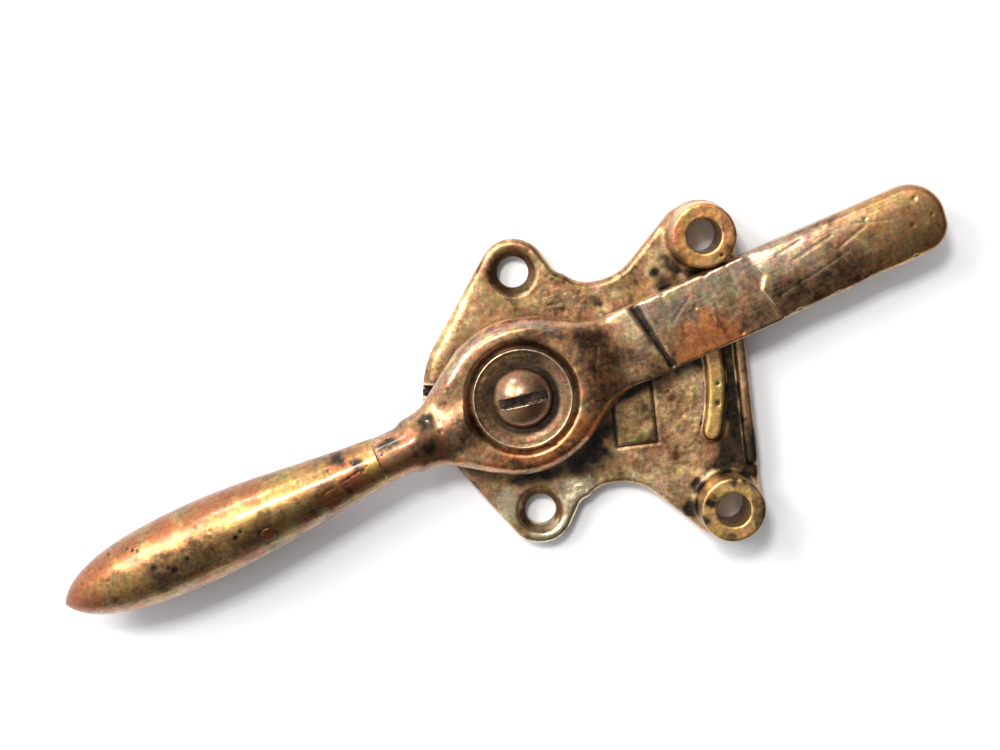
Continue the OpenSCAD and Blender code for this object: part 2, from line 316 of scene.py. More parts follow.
def plate_field(x, y, z):
    """The plate with its bosses, rails, housing, post, notch and holes."""
    side = np.abs(y)
    outline = plate_outline(x, y)
    rim_r = RIM_R + (RIM_BULGE_R - RIM_R) * smooth(-x, 2, 14)
    plate = meet(meet(outline, z - PLATE_T, rim_r), -z, EDGE_FILLET)
    boss_gap = np.hypot(x - BOSS[0], side - BOSS[1])
    tapering = np.maximum(z - BOSS_WAIST_Z, 0) / (BOSS_H - BOSS_WAIST_Z)
    wall = boss_gap - BOSS_WAIST_R + (BOSS_WAIST_R - BOSS_TOP_R) * tapering
    boss = np.maximum(meet(wall, z - BOSS_H, 0.4), 1 - z)
    metal = np.maximum(join(plate, boss, BOSS_FLARE), np.minimum(outline, boss))
    turn = np.clip(np.arctan2(y, x), -CURVED_RAIL_ANGLE, CURVED_RAIL_ANGLE)
    arc = np.hypot(x - CURVED_RAIL_R * np.cos(turn), y - CURVED_RAIL_R * np.sin(turn))
    metal = join(metal, rail(arc, CURVED_RAIL_HALF_W, z), RAIL_FOOT)
    edge = np.hypot(x - EDGE_RAIL_X, np.maximum(side - EDGE_RAIL_HALF, 0))
    metal = join(metal, rail(edge, EDGE_RAIL_HALF_W, z), RAIL_FOOT)
    metal = meet(metal, x - EDGE_X, EDGE_FILLET)
    centre = np.hypot(x, y)
    metal = cut(metal, np.maximum(centre - HOUSING_R, FLOOR_T - z), EDGE_FILLET)
    post = np.maximum(meet(centre - POST_R, z - POST_TOP, 0.3), 1 - z)
    metal = np.minimum(metal, post)
    along = x * cos(ANCHOR_ANGLE) + y * sin(ANCHOR_ANGLE)
    across = y * cos(ANCHOR_ANGLE) - x * sin(ANCHOR_ANGLE)
    slot = np.maximum(np.maximum(HOUSING_R - 1 - along, np.abs(across) - ANCHOR_W / 2), 2 - z)
    metal = cut(metal, slot, 0.15)
    ear_gap = np.hypot(x - EAR[0], side - EAR[1])
    sink = (ear_gap - EAR_SINK_R - z + PLATE_T) / sqrt(2)
    metal = cut(metal, np.minimum(ear_gap - EAR_HOLE_R, sink), 0.25)
    metal = cut(metal, boss_gap - BOSS_HOLE_R, 0.3)
    return cut(metal, np.maximum(centre - SHANK_R - 0.03, 2.2 - z), 0.1)


BORDER = (19.4, -5.6, 3.6, 6.0)     # a plain engraved border: centre and half sides
# Places on the plate: x, y, sometimes z, then a radius. A pit also has a depth.
ROUGH_CAST = [(28.3, -3, 3.6), (28.6, -8, 3.4), (29, -13.5, 3.2), (31, -17, 2.6), (8, -19, 3),
              (7, 17.5, 3.4), (11, 15.5, 3.2), (6.5, 23, 2.2), (4, -24.5, 2)]
# Dark patches: dirt, and painted shade between the rails and along the hub's lower edge.
BLACK = [(37.2, -14.6, 3.4), (36.9, -9, 1.3), (36.9, -4, 1.3), (36.8, 1, 1.3), (34, -17.2, 2.2),
         (38, -19, 2.0), (12.5, -13.2, 3.0), (9.5, -15.6, 2.6), (15.5, -9, 1.8), (29.5, 20, 2.4),
         (28, 15.5, 2.6), (25.6, 18.4, 1.0), (8.2, 15.6, 1.3), (33, 17, 2.4), (27.8, -24, 2.4),
         (28.4, -20, 2.0), (14.5, 15, 1.5)]
BOSS_BLACK = [(31.2, -21.6, 1.5), (37.9, -25.9, 1.6), (33.2, -28.8, 1.8), (35.4, -19.6, 1.2),
              (29.6, -25.4, 1.0), (38.4, 21.6, 1.3)]
BRIGHT = [(7.3, -18.4, 4, 3.2), (-4.6, -19.2, 4, 2.6), (1, -26.4, 3.4, 3.6), (6.6, -23, 3.6, 2.4)]
PLATE_PITS = [(34.6, -2.3, 5.3, 0.5, 0.35), (34.2, -5.9, 5.3, 0.75, 0.4), (40, -13.0, 5.3, 0.7, 0.5),
              (31.4, 24.8, 11, 0.5, 0.15), (36.9, 20.4, 11, 0.6, 0.2), (24, 12.5, 4, 0.5, 0.2)]


def plate_dirt_and_shade(x, y, z, top, face):
    """Dirt and painted shade by place: painted shade under and round the hub, in the housing and in the
    nose's shadow along the nose; both between and by the rails; darker by the upper boss.
    """
    centre = np.hypot(x, y)
    lever_x, lever_y = x * cos(REST) + y * sin(REST), y * cos(REST) - x * sin(REST)
    round_hub = smooth(centre, 11.5, 13.2)
    # Painted shade under the lever's hub: a dark band below it and a softer one above, with dirt; the
    # housing under the hub is painted shade too.
    below_hub = round_hub * (1 - smooth(centre, 15.2, 19.0)) * (y < 4)
    above_hub = round_hub * (1 - smooth(centre, 13.8, 16.6)) * (y >= 4)
    housing = 1 - smooth(centre, 12.6, 13.4)
    # Dirt and painted shade between the rails and beside them, below the lever's nose.
    gap = smooth(x, 35.6, 36.6) * (1 - smooth(y, 8, 14))
    by_rails = smooth(x, 29, 34) * (1 - smooth(y, 6, 14))
    # Darker towards the upper boss.
    by_boss = smooth(x, 14, 24) * smooth(y, 8, 16)
    # Painted shadow of the nose on the plate, along its lower side.
    by_nose = (1 - smooth(-lever_y, 7.4, 10.4)) * smooth(-lever_y, -1, 6) * smooth(lever_x, 12, 17)
    edge_rail = smooth(x, 38.2, 38.7) * (z > 4.2) * (np.abs(y) < 18)
    on_face = 0.8 * gap + 0.45 * by_rails + 0.15 * by_boss + 0.9 * by_nose
    return 0.75 * below_hub * top + 0.6 * above_hub + 0.8 * housing + 0.5 * edge_rail + on_face * face


def make_plate():
    """The plate: its rough casting and engraved border, and where each colour of its patina lies, with its
    painted shade and painted highlights.
    """
    points, faces, normal = cast(plate_field, *PLATE_SPACE)
    x, y, z = points.T
    top = smooth(normal[:, 2], 0.5, 0.9)
    face = smooth(normal[:, 2], 0.8, 0.95) * smooth(z, 3.6, 3.9) * (1 - smooth(z, 4.2, 4.5))
    rough = spots(points, ROUGH_CAST) * smooth(normal[:, 2], 0.9, 0.99)
    boss_face = smooth(z, 10.2, 10.8)
    back = smooth(-normal[:, 2], 0.7, 0.95)
    wave = layers(points, 7, 1) * 0.10 * face
    grit = noise(points, 0.55, 4) * (0.01 + 0.07 * rough + 0.03 * boss_face)
    cx, cy, hx, hy = BORDER
    line = np.abs(np.maximum(np.abs(x - cx) - hx, np.abs(y - cy) - hy))
    border = face * (1 - smooth(line, 0.12, 0.42))
    sunk = pits(points, PLATE_PITS)
    out = wave + grit + layers(points, 2.5, 9) * 0.035 - 0.22 * border - 0.5 * sunk
    out = out * (1 - back) + 0.02 * noise(points, 1.6, 11) * back
    # How hemmed in by metal each point is; added to the grime mask below, these darken corners and hollows
    # as painted shade as well as dirt.
    corner = hollow(plate_field, points, normal, 1.2)
    wide = hollow(plate_field, points, normal, 3.5)
    edge = ridge(plate_field, points, normal, 0.7)
    across_notch = np.abs(y * cos(ANCHOR_ANGLE) - x * sin(ANCHOR_ANGLE))
    notch = (across_notch < ANCHOR_W / 2 + 0.15) * (x < -HOUSING_R + 1)
    grime_and_shade = corner + 0.5 * wide + 0.75 * spots(points, BLACK) + plate_dirt_and_shade(x, y, z, top, face)
    grime_and_shade = grime_and_shade + 4 * sunk + 0.55 * border + 0.7 * boss_face * spots(points, BOSS_BLACK)
    grime_and_shade = grime_and_shade + 0.35 * layers(points, 5, 21) * face
    # Dark in the anchor notch, the ear countersinks and the boss bores: painted shade in these openings,
    # with dirt.
    side = np.abs(y)
    hole = np.hypot(x - EAR[0], side - EAR[1])
    grime_and_shade = np.maximum(np.maximum(grime_and_shade, 1.3 * notch), 0.72 * (1 - smooth(hole, 3.7, 4.3)))
    bore = np.hypot(x - BOSS[0], side - BOSS[1])
    grime_and_shade = np.maximum(grime_and_shade, 0.9 * (1 - smooth(bore, 2.9, 3.15)) * (1 - smooth(z, 10.0, 10.9)))
    bright = 1.1 * spots(points, BRIGHT)
    # Edges lightened towards near white: wear, and a painted highlight on their rounding.
    edge_wear_and_highlight = edge * (1 - 0.7 * corner) * (1 - 0.6 * back) * (1 - 0.35 * boss_face)
    rail_top = smooth(z, 4.7, 5.2) * (x > 30) * (x < 37.5)
    # Golden band along the left rim: rubbed brass, and painted light on its bevel.
    left_rim = smooth(-x, 6, 12) * smooth(np.hypot(x, y), 15.2, 16.6)
    masks = {
        "grime_and_shade": grime_and_shade,
        "wear_and_highlight": edge_wear_and_highlight + 0.75 * bright,
        "rust": boss_face * np.where(y > 0, 0.7, 0.3) + 0.25 * smooth(x, 24, 30) * face,
        "gold": 0.5 * boss_face * (y < 0) + 0.35 * left_rim + 0.9 * rail_top,
        "pale": 0.35 * rough + bright,
        "rough": np.maximum(rough, 0.5 * back),
    }
    points = points + normal * out[:, None]
    return build("plate_casting", points, faces, "plate", ["base_plate"], masks)


# ---- lever ----

NOSE_TIP = [(NOSE_LEN - 6.2, 0.2, 6.0), (NOSE_LEN - 5.0, -1.9, 4.6)]
GROOVE = ((23.9, 6.4), (26.0, -6.0))       # filed notch where the worn length starts
GROOVE_W, GROOVE_END_W = 1.9, 0.6          # how far it spreads to each side at its two ends
GROOVE_BLACK = (25.9, -5.3, 10.2, 0.9)
WORN_EDGE = [(44.4, 7.2), (46.7, 2.1), (45.3, -0.3), (47.3, -7.2)]


def nose_planes():
    """Edge lines of the nose's outline, as unit normals and offsets: the hull of its corners."""
    corners = [(-2.0, -NOSE_HALF), (-2.0, NOSE_HALF), (NOSE_LEN * 0.6, NOSE_HALF),
               (NOSE_LEN * 0.6, -NOSE_HALF)]
    for cx, cy, r in NOSE_TIP:
        corners += [(cx + r * cos(a), cy + r * sin(a)) for a in np.linspace(-pi / 2, pi / 2, 33)]
    corners = sorted(corners)

    def half(ordered):
        """One side of the hull, dropping every corner that turns inwards."""
        line = []
        for p in ordered:
            while len(line) > 1 and (
                (line[-1][0] - line[-2][0]) * (p[1] - line[-2][1])
                - (line[-1][1] - line[-2][1]) * (p[0] - line[-2][0])
            ) <= 1e-9:
                line.pop()
            line.append(p)
        return line[:-1]

    ring = half(corners) + half(corners[::-1])
    planes = []
    for (ax, ay), (bx, by) in zip(ring, ring[1:] + ring[:1]):
        length = hypot(bx - ax, by - ay)
        nx, ny = (by - ay) / length, (ax - bx) / length
        planes.append((nx, ny, nx * ax + ny * ay))
    return planes


NOSE_PLANES = nose_planes()


def nose_outline(x, y):
    """Plane field of the nose: how far a point is outside the farthest of its edge lines."""
    gap = x * 0 + y * 0 - 99.0
    for nx, ny, offset in NOSE_PLANES:
        gap = np.maximum(gap, nx * x + ny * y - offset)
    return gap


def beyond_worn(x, y):
    """How far a point lies towards the nose's tip from the end of the worn length."""
    edge_x = np.interp(-y, [-p[1] for p in WORN_EDGE], [p[0] for p in WORN_EDGE])
    return x - edge_x


def groove_gap(x, y):
    """Distance from the groove's middle, as a share of its spread, and the share along it."""
    gap, share = segment(x, y, *GROOVE)
    return gap / (GROOVE_W + (GROOVE_END_W - GROOVE_W) * share), share


def lever_top(x, y):
    """Height of the lever's upper side: dished hub, worn nose with its filed notch, and neck."""
    centre = np.hypot(x, y)
    hub = HUB_TOP - DISH_DEPTH * (1 - smooth(centre, DISH_FLAT_R, DISH_EDGE_R))
    hub = hub - 0.045 * np.maximum(centre - 10.0, 0) ** 2
    crown = LEVER_Z + NOSE_T - y * y / (2 * CROWN_R)
    worn = LEVER_Z + NOSE_T - 0.36 - y * y / 140 - 0.010 * y
    worn = np.minimum(worn, crown + 0.4)
    far = smooth(beyond_worn(x, y), -0.25, 0.3)
    nose = worn + (crown - worn) * far
    gap, share = groove_gap(x, y)
    nose = nose - (0.55 - 0.25 * share) * (1 - smooth(gap, 0.0, 1.0))
    neck = HUB_TOP - 1.3
    towards_nose, towards_neck = smooth(x, 12, 23.5), smooth(-x, 11.5, 17)
    return hub + (nose - hub) * towards_nose + (neck - hub) * towards_neck


def lever_field(x, y, z):
    """The lever's casting: hub, nose, neck, the tang inside the grip and the collar below."""
    centre = np.hypot(x, y)
    nose = nose_outline(x, y)
    outline = join(centre - HUB_R, nose, HUB_FILLET)
    web = np.maximum(np.abs(y) - NECK_R + 0.8, np.maximum(-WEB_END - x, x))
    outline = join(outline, web, WEB_FILLET)
    edge_r = 0.45 + 2.3 * (1 - smooth(x, 12, 22)) + 0.65 * smooth(x, 46, 50)
    metal = meet(outline, z - lever_top(x, y), edge_r)
    metal = meet(metal, LEVER_Z - z, 0.4)
    neck_r = NECK_R - 2.0 * smooth(x, -21, -13.5)
    neck = np.maximum(np.hypot(y, z - HANDLE_Z) - neck_r, x + NECK_START)
    metal = join(metal, neck, NECK_FILLET)
    metal = np.maximum(metal, -JOINT_X - NECK_INSIDE - x)
    tang = np.maximum(np.hypot(y, z - HANDLE_Z) - TANG_R, np.maximum(-TANG_END - x, x + TANG_START))
    metal = np.minimum(metal, tang)
    collar = np.maximum(centre - COLLAR_R, np.maximum(COLLAR_Z - z, z - LEVER_Z - 1))
    metal = np.minimum(metal, collar)
    return cut(metal, centre - BORE_R, 0.15)


LEVER_PITS = [(69.5, -5.4, 10.0, 0.45, 0.3), (72.1, -5.7, 9.8, 0.55, 0.35), (66.5, 3.6, 10.5, 0.35, 0.2),
              (77.3, -0.5, 10.9, 0.4, 0.2), (75.6, 3.2, 10.6, 0.45, 0.2), (-12, -2.6, 12.1, 0.75, 0.3),
              (-24, 3.3, 12, 0.5, 0.3), (-26, 1.5, 13.3, 0.35, 0.25), (-25, 2.2, 13, 0.3, 0.25),
              (29.5, 6.6, 10.3, 0.7, 0.3), (33.8, 6.7, 10.3, 0.5, 0.25), (37.5, 6.7, 10.3, 0.8, 0.35),
              (41.2, 6.7, 10.3, 0.5, 0.25), (22.5, 6.9, 10.8, 0.7, 0.35), (20.6, 7.4, 11, 0.5, 0.3),
              (-17, 3, 11.8, 0.7, 0.25), (-15.2, 0.6, 12, 0.6, 0.2), (33.6, 1.8, 10.6, 0.5, 0.2),
              (50, -6.4, 10, 0.7, 0.3), (57.4, -6.5, 10, 0.6, 0.25), (73.5, -0.9, 10.9, 0.6, 0.15),
              (-13.2, 3.9, 12, 0.5, 0.3), (-11.6, 6.9, 12, 0.5, 0.25), (39.4, -5.6, 10.4, 0.6, 0.3)]
LEVER_SCRATCHES = [((7.2, -5.9), (10.6, -5.2)), ((0.5, -9.1), (6.8, -11.2)), ((52, 2.2), (60, 3.4)),
                   ((55.5, -1.5), (62, -0.2)), ((48, -2.5), (57, -1.1)), ((60, 0.8), (66, 2.6)),
                   ((50, 4.2), (55, 4.8)), ((29, 1.0), (33.4, 3.9)), ((13, -2), (15.5, 2.5)),
                   ((35.6, -1.6), (36.2, 1.6)), ((36.7, -1.9), (37.2, 1.5)), ((64.2, 3.7), (70.5, 1.5))]


LEVER_STAINS = [(-16.8, 3.1, 12, 1.6), (-18.6, -1, 12, 1.4), (-24.4, 2.8, 13, 1.5), (25.8, -5.4, 10, 1.5),
                (38.6, -5.0, 10.3, 1.1), (73.0, -0.6, 11, 2.0), (70.5, 2.2, 10.8, 1.4),
                (35.2, 1.2, 10.6, 0.9), (-13.5, 0, 12, 1.2), (66, -5.2, 10, 1.6)]
FACET = (64.6, -5.6, 9.9, 2.9)             # a flattened place on the nose's lower edge
COPPERY = [(30, -4.2, 10.4, 3.4), (34, -3.6, 10.4, 4.0), (38, -5.0, 10.4, 2.6)]


def make_lever():
    """The lever: file marks, pits and scratches on it, and where each colour of its patina lies, with its
    painted shade and painted highlights.
    """
    points, faces, normal = cast(lever_field, *LEVER_SPACE)
    x, y, z = points.T
    top = smooth(normal[:, 2], 0.35, 0.8)
    centre = np.hypot(x, y)
    sunk = pits(points, LEVER_PITS)
    scratch = np.zeros(len(points))
    for line in LEVER_SCRATCHES:
        scratch = np.maximum(scratch, 1 - smooth(segment(x, y, *line)[0], 0.05, 0.34))
    scratch = scratch * top
    nose = smooth(x, 14, 22)
    filed = noise(points * (2.6, 0.25, 0.25), 1.0, 31) * 0.02 * nose * (x < 46) * top
    wave = 0.05 * layers(points, 6, 15) + 0.02 * noise(points, 1.3, 19)
    out = wave + filed - 0.6 * sunk - 0.05 * scratch
    facet = spots(points, [FACET])
    out = out - 0.22 * facet
    # How hemmed in by metal each point is; in the grime mask below these darken the lever's corners and
    # hollows as painted shade as well as dirt.
    corner = hollow(lever_field, points, normal, 1.0)
    wide = hollow(lever_field, points, normal, 3.0)
    edge = ridge(lever_field, points, normal, 0.7)
    in_groove = (1 - smooth(groove_gap(x, y)[0], 0.2, 1.0)) * top
    in_groove = np.maximum(in_groove, spots(points, [GROOVE_BLACK]))
    # A dark ring in the dish round the washer, darker on its upper side: dirt in the dish and painted
    # shade.
    ring = smooth(centre, 8.2, 8.6) * (1 - smooth(centre, 8.9, 10.1 + 0.9 * smooth(y, -4, 8))) * top
    grime_and_shade = (0.3 + 0.55 * smooth(y + 0.4 * x, -8, 6)) * ring + 0.95 * in_groove + 1.5 * sunk
    grime_and_shade = grime_and_shade + 0.8 * corner + 0.25 * wide + 0.5 * spots(points, LEVER_STAINS)
    grime_and_shade = grime_and_shade + 0.6 * smooth(-x, 13, 17) * top
    # Lower down its sides the lever's dirt fades, and near its underside it is darker: painted shade.
    grime_and_shade = grime_and_shade * (0.4 + 0.6 * smooth(z, 7, 9.5)) + 0.55 * (1 - smooth(z, 6.2, 8.5))
    ridge_line = (1 - smooth(np.abs(beyond_worn(x, y) - 0.12), 0.05, 0.28)) * top * (np.abs(y) < 6.3)
    orange = spots(points, COPPERY)
    lower_hub = smooth(-y, 3, 9) * (x < 14) * smooth(z, 9, 11)
    hub_side = smooth(x, 6, 11) * (1 - smooth(x, 14, 18))
    # Edges, the worn ridge and scratches lightened: wear, and on the edges a painted highlight.
    worn_and_lit_edge = np.maximum(edge * (1 - corner), np.maximum(0.8 * ridge_line, 0.55 * scratch))
    copper = np.maximum(np.maximum(orange, 0.75 * lower_hub), 0.45 * hub_side)
    # Silvery patina along the nose, lighter towards its upper side as painted sheen.
    pale_and_sheen = smooth(x, 16, 24) * (1 - 0.6 * smooth(x, 50, 66)) * (0.42 + 0.35 * smooth(y, -2, 5))
    # Painted highlight on the upper outer edge of the hub.
    hub_rim_highlight = smooth(centre, 11.4, 12.8) * smooth(y, 5, 10) * (x < 16)
    masks = {
        "grime_and_shade": grime_and_shade,
        "wear_and_highlight": worn_and_lit_edge * smooth(x, -26.6, -24),
        "rust": (copper + 0.5 * smooth(-x, 12, 18)) * top + 0.35 * facet,
        "gold": 0.85 * smooth(x, 56, 70) + 0.35 * smooth(-x, 9, 16) + 0.3 * (1 - nose) * smooth(-y, 4, 10),
        "pale": top * (pale_and_sheen * (1 - orange) + 0.9 * hub_rim_highlight),
        "rough": 0.2 * (1 - top),
    }
    points = points + normal * out[:, None]
    return build("lever_casting", points, faces, "lever", ["lever"], masks, turned=True)


# ---- grip and its pin ----

def curve(p, t):
    return (1 - t) ** 3 * p[0] + 3 * t * (1 - t) ** 2 * p[1] + 3 * t * t * (1 - t) * p[2] + t ** 3 * p[3]


def grip_profile():
    """Radius and distance from the pivot along the grip's outline, from its joint to its tip."""
    t = np.linspace(0, 1, 120)
    swell_x = curve((JOINT_X, JOINT_X + 11, GRIP_MID - 12.6, GRIP_MID), t)
    swell_r = curve((NECK_R + 0.1, NECK_R + 0.8, GRIP_R, GRIP_R), t)
    nose_x = curve((GRIP_MID, GRIP_MID + 12.4, GRIP_END - 2.6, GRIP_END), t)
    nose_r = curve((GRIP_R, GRIP_R, GRIP_R * 0.72, 0), t)
    return np.concatenate([swell_r, nose_r[1:]]), np.concatenate([swell_x, nose_x[1:]])


PROFILE_R, PROFILE_X = grip_profile()
GRIP_PITS = [(-72.0, 4.4, 0.4, 0.35), (-72.9, 5.0, 0.35, 0.3), (-71.2, 4.0, 0.35, 0.3),
             (-76.5, 5.2, 0.4, 0.3), (-63.5, -0.8, 0.5, 0.35), (-66.4, -1.7, 0.8, 0.3),
             (-67.2, -0.9, 0.5, 0.3), (-69.5, 0, 0.8, 0.3), (-54.6, -1.0, 0.6, 0.25),
             (-53.4, -0.4, 0.5, 0.2), (-33, 3.4, 0.5, 0.3), (-31.4, 2.4, 0.4, 0.25),
             (-35.5, 2.7, 0.4, 0.2), (-30.2, 0.2, 0.5, 0.2), (-78, 1.2, 0.4, 0.25), (-81, -2, 0.45, 0.2),
             (-58.2, 1.9, 0.35, 0.2), (-60, 3.6, 0.4, 0.2), (-45, -2.8, 0.4, 0.2), (-41, 3.1, 0.4, 0.2)]
GRIP_CRACK = ((-29.2, 0.7), (-38.2, -0.5))
GRIP_SMUDGES = [(-54.8, -0.9, 1.7), (-53.2, 0.1, 1.0), (-69.6, 0, 1.6), (-66.8, -1.5, 1.5),
                (-63.8, -0.9, 1.0), (-48.5, -0.4, 0.9), (-33.2, 3.6, 1.8), (-30.4, 1.8, 1.2)]
GRIP_DARK = (-31, 1, 3.5)
GRIP_RED = [(-33, 2, 4.0), (-31, -1.4, 2.4), (-37, -2, 2.5), (-60, 5.6, 3.0), (-55, 5.4, 3.2),
            (-66, 5.6, 3.0), (-50, 5.0, 2.6), (-73, 5.8, 2.6), (-79, 4.2, 2.8), (-85, 1, 4.6),
            (-83, -3.2, 3.6), (-76, -5.8, 2.8), (-49.3, -2.9, 1.5), (-43, -3.4, 2.2), (-54, -5.8, 2.6),
            (-64, -6.4, 2.6)]
GRIP_RINGS, GRIP_SIDES = 300, 150
END_STEP = 0.05                     # how much smaller the grip's end is at the joint


def grip_rings():
    """Rings of points along the grip, and for each point the direction in which dents move it."""
    length = np.concatenate([[0], np.cumsum(np.hypot(np.diff(PROFILE_R), np.diff(PROFILE_X)))])
    at = np.linspace(0, length[-1], GRIP_RINGS)
    r = np.interp(at, length, PROFILE_R)[:-1]
    x = -np.interp(at, length, PROFILE_X)[:-1]
    angle = np.linspace(0, 2 * pi, GRIP_SIDES, endpoint=False)
    along = np.stack([np.gradient(x), np.gradient(r)], axis=1)
    along /= np.linalg.norm(along, axis=1, keepdims=True)
    outward = np.abs(along[:, 0])
    push = np.stack([
        -np.repeat(along[:, 1], GRIP_SIDES),
        np.outer(outward, np.cos(angle)).ravel(),
        np.outer(outward, np.sin(angle)).ravel(),
    ], axis=1)
    r[0] -= END_STEP
    points = np.stack([
        np.repeat(x, GRIP_SIDES),
        np.outer(r, np.cos(angle)).ravel(),
        np.outer(r, np.sin(angle)).ravel() + HANDLE_Z,
    ], axis=1)
    return points, push


def grip_faces():
    """Quads between the rings, a fan to the tip's point and one face over the joint's end."""
    first = np.arange(GRIP_SIDES)
    second = (first + 1) % GRIP_SIDES
    faces = []
    for start in range(0, (GRIP_RINGS - 2) * GRIP_SIDES, GRIP_SIDES):
        after = start + GRIP_SIDES
        faces += [(a + start, b + start, b + after, a + after) for a, b in zip(first, second)]
    last = (GRIP_RINGS - 2) * GRIP_SIDES
    tip = last + GRIP_SIDES
    faces += [(last + a, last + b, tip) for a, b in zip(first, second)]
    faces.append(tuple(first[::-1]))
    return faces


def make_grip():
    """A turned grip, dented and pitted by hand and by time."""
    points, push = grip_rings()
    x, y, z = points.T
    upper = smooth(push[:, 2], 0.0, 0.3)
    sunk = np.zeros(len(points))
    for pit_x, pit_y, radius, deep in GRIP_PITS:
        gap = np.hypot(x - pit_x, y - pit_y) / radius
        sunk = np.maximum(sunk, deep * (1 - smooth(gap, 0.3, 1.0)) * upper)
    crack = 1 - smooth(segment(x, y, *GRIP_CRACK)[0], 0.04, 0.2)
    crack = crack * upper * smooth(noise(points, 1.1, 41), -0.75, -0.1)
    pin_y = -sin(PIN_LEAN) * (z - HANDLE_Z) - y * cos(PIN_LEAN)
    pin_gap = np.hypot(x + PIN_X, pin_y)
    round_pin = (1 - smooth(np.abs(pin_gap - PIN_R - 0.1), 0.05, 0.3)) * smooth(push[:, 2], 0.2, 0.6)
    out = 0.075 * layers(points, 6, 45) + 0.015 * noise(points, 1.2, 51)
    out = out * smooth(-x, JOINT_X, JOINT_X + 1.5) - 0.45 * sunk - 0.07 * crack - 0.05 * round_pin
    points = points + push * out[:, None]
    patch = np.stack([x, y], axis=1)
    grime_and_shade = 1.8 * sunk + 1.6 * crack + 0.5 * round_pin + 0.6 * spots(patch, GRIP_SMUDGES) * upper
    grime_and_shade = grime_and_shade + 0.3 * spots(patch, [GRIP_DARK])
    # Darker along the grip's upper side, short of its tip: painted shade.
    grime_and_shade = grime_and_shade + 0.3 * smooth(y, 2, 5) * (1 - smooth(-x, 76, 86))
    with_tip = {                        # each mask's values on the rings, and its value at the tip
        "grime_and_shade": (grime_and_shade, 0.1),
        "wear_and_highlight": (0 * x, 0.1),
        "rust": (spots(patch, GRIP_RED) + 0.35 * smooth(-x, 74, 88) + 0.35 * (1 - upper), 0.7),
        "gold": (0.6 + 0.8 * layers(points, 7, 55), 0.6),
        # Lighter along the lower side of the grip's top: painted sheen.
        "pale": (0.5 * smooth(-y, 0, 3.5) * upper, 0),
        "rough": (0 * x, 0),
    }
    masks = {name: np.append(values, last) for name, (values, last) in with_tip.items()}
    points = np.append(points, [[-GRIP_END, 0, HANDLE_Z]], axis=0)
    return build("handle_turning", points, grip_faces(), "lever", ["handle_grip"], masks,
                 turned=True)


def pin_field(x, y, z):
    """The cross pin along its own axis, its ends domed to follow the grip."""
    up = z * cos(PIN_LEAN) + y * sin(PIN_LEAN)
    side = y * cos(PIN_LEAN) - z * sin(PIN_LEAN)
    grip_r = np.interp(PIN_X - x, PROFILE_X, PROFILE_R)
    return meet(np.hypot(x, y) - PIN_R, np.hypot(side, up) - grip_r - 0.03, 0.25)


def make_pin():
    """The cross pin, leant over and set in its place in the grip."""
    points, faces, normal = cast(pin_field, *PIN_SPACE)
    grime_and_shade = 0.35 + 0.4 * smooth(np.hypot(points[:, 0], points[:, 1]), 0.9, 1.35)
    none = 0 * grime_and_shade
    masks = {"grime_and_shade": grime_and_shade, "wear_and_highlight": none, "rust": none + 0.8, "gold": none, "pale": none, "rough": none}
    points = points + normal * (0.03 * noise(points, 0.5, 61))[:, None]
    x, y, z = points.T
    lean_y = y * cos(PIN_LEAN) - z * sin(PIN_LEAN)
    lean_z = y * sin(PIN_LEAN) + z * cos(PIN_LEAN)
    points = np.stack([x - PIN_X, lean_y, lean_z + HANDLE_Z], axis=1)
    return build("grip_cross_pin", points, faces, "lever", ["grip_pin"], masks, turned=True)


# ---- pieces on the post ----

def screw_field(x, y, z):
    """The screw: a domed slotted head on a plain shank."""
    centre = np.hypot(x, y)
    dome_r = (HEAD_R ** 2 + HEAD_H ** 2) / (2 * HEAD_H)
    dome = np.sqrt(centre ** 2 + (z - HEAD_Z - HEAD_H + dome_r) ** 2) - dome_r
    head = meet(dome, HEAD_Z - z, 0.25)
    shank = np.maximum(centre - SHANK_R, np.maximum(SHANK_BOTTOM - z, z - HEAD_Z - 0.5))
    metal = np.minimum(head, shank)
    across = y * cos(SLOT_ANGLE) - x * sin(SLOT_ANGLE)
    floor = HEAD_Z + HEAD_H - SLOT_DEPTH - z
    return cut(metal, np.maximum(np.abs(across) - SLOT_W / 2, floor), 0.12)


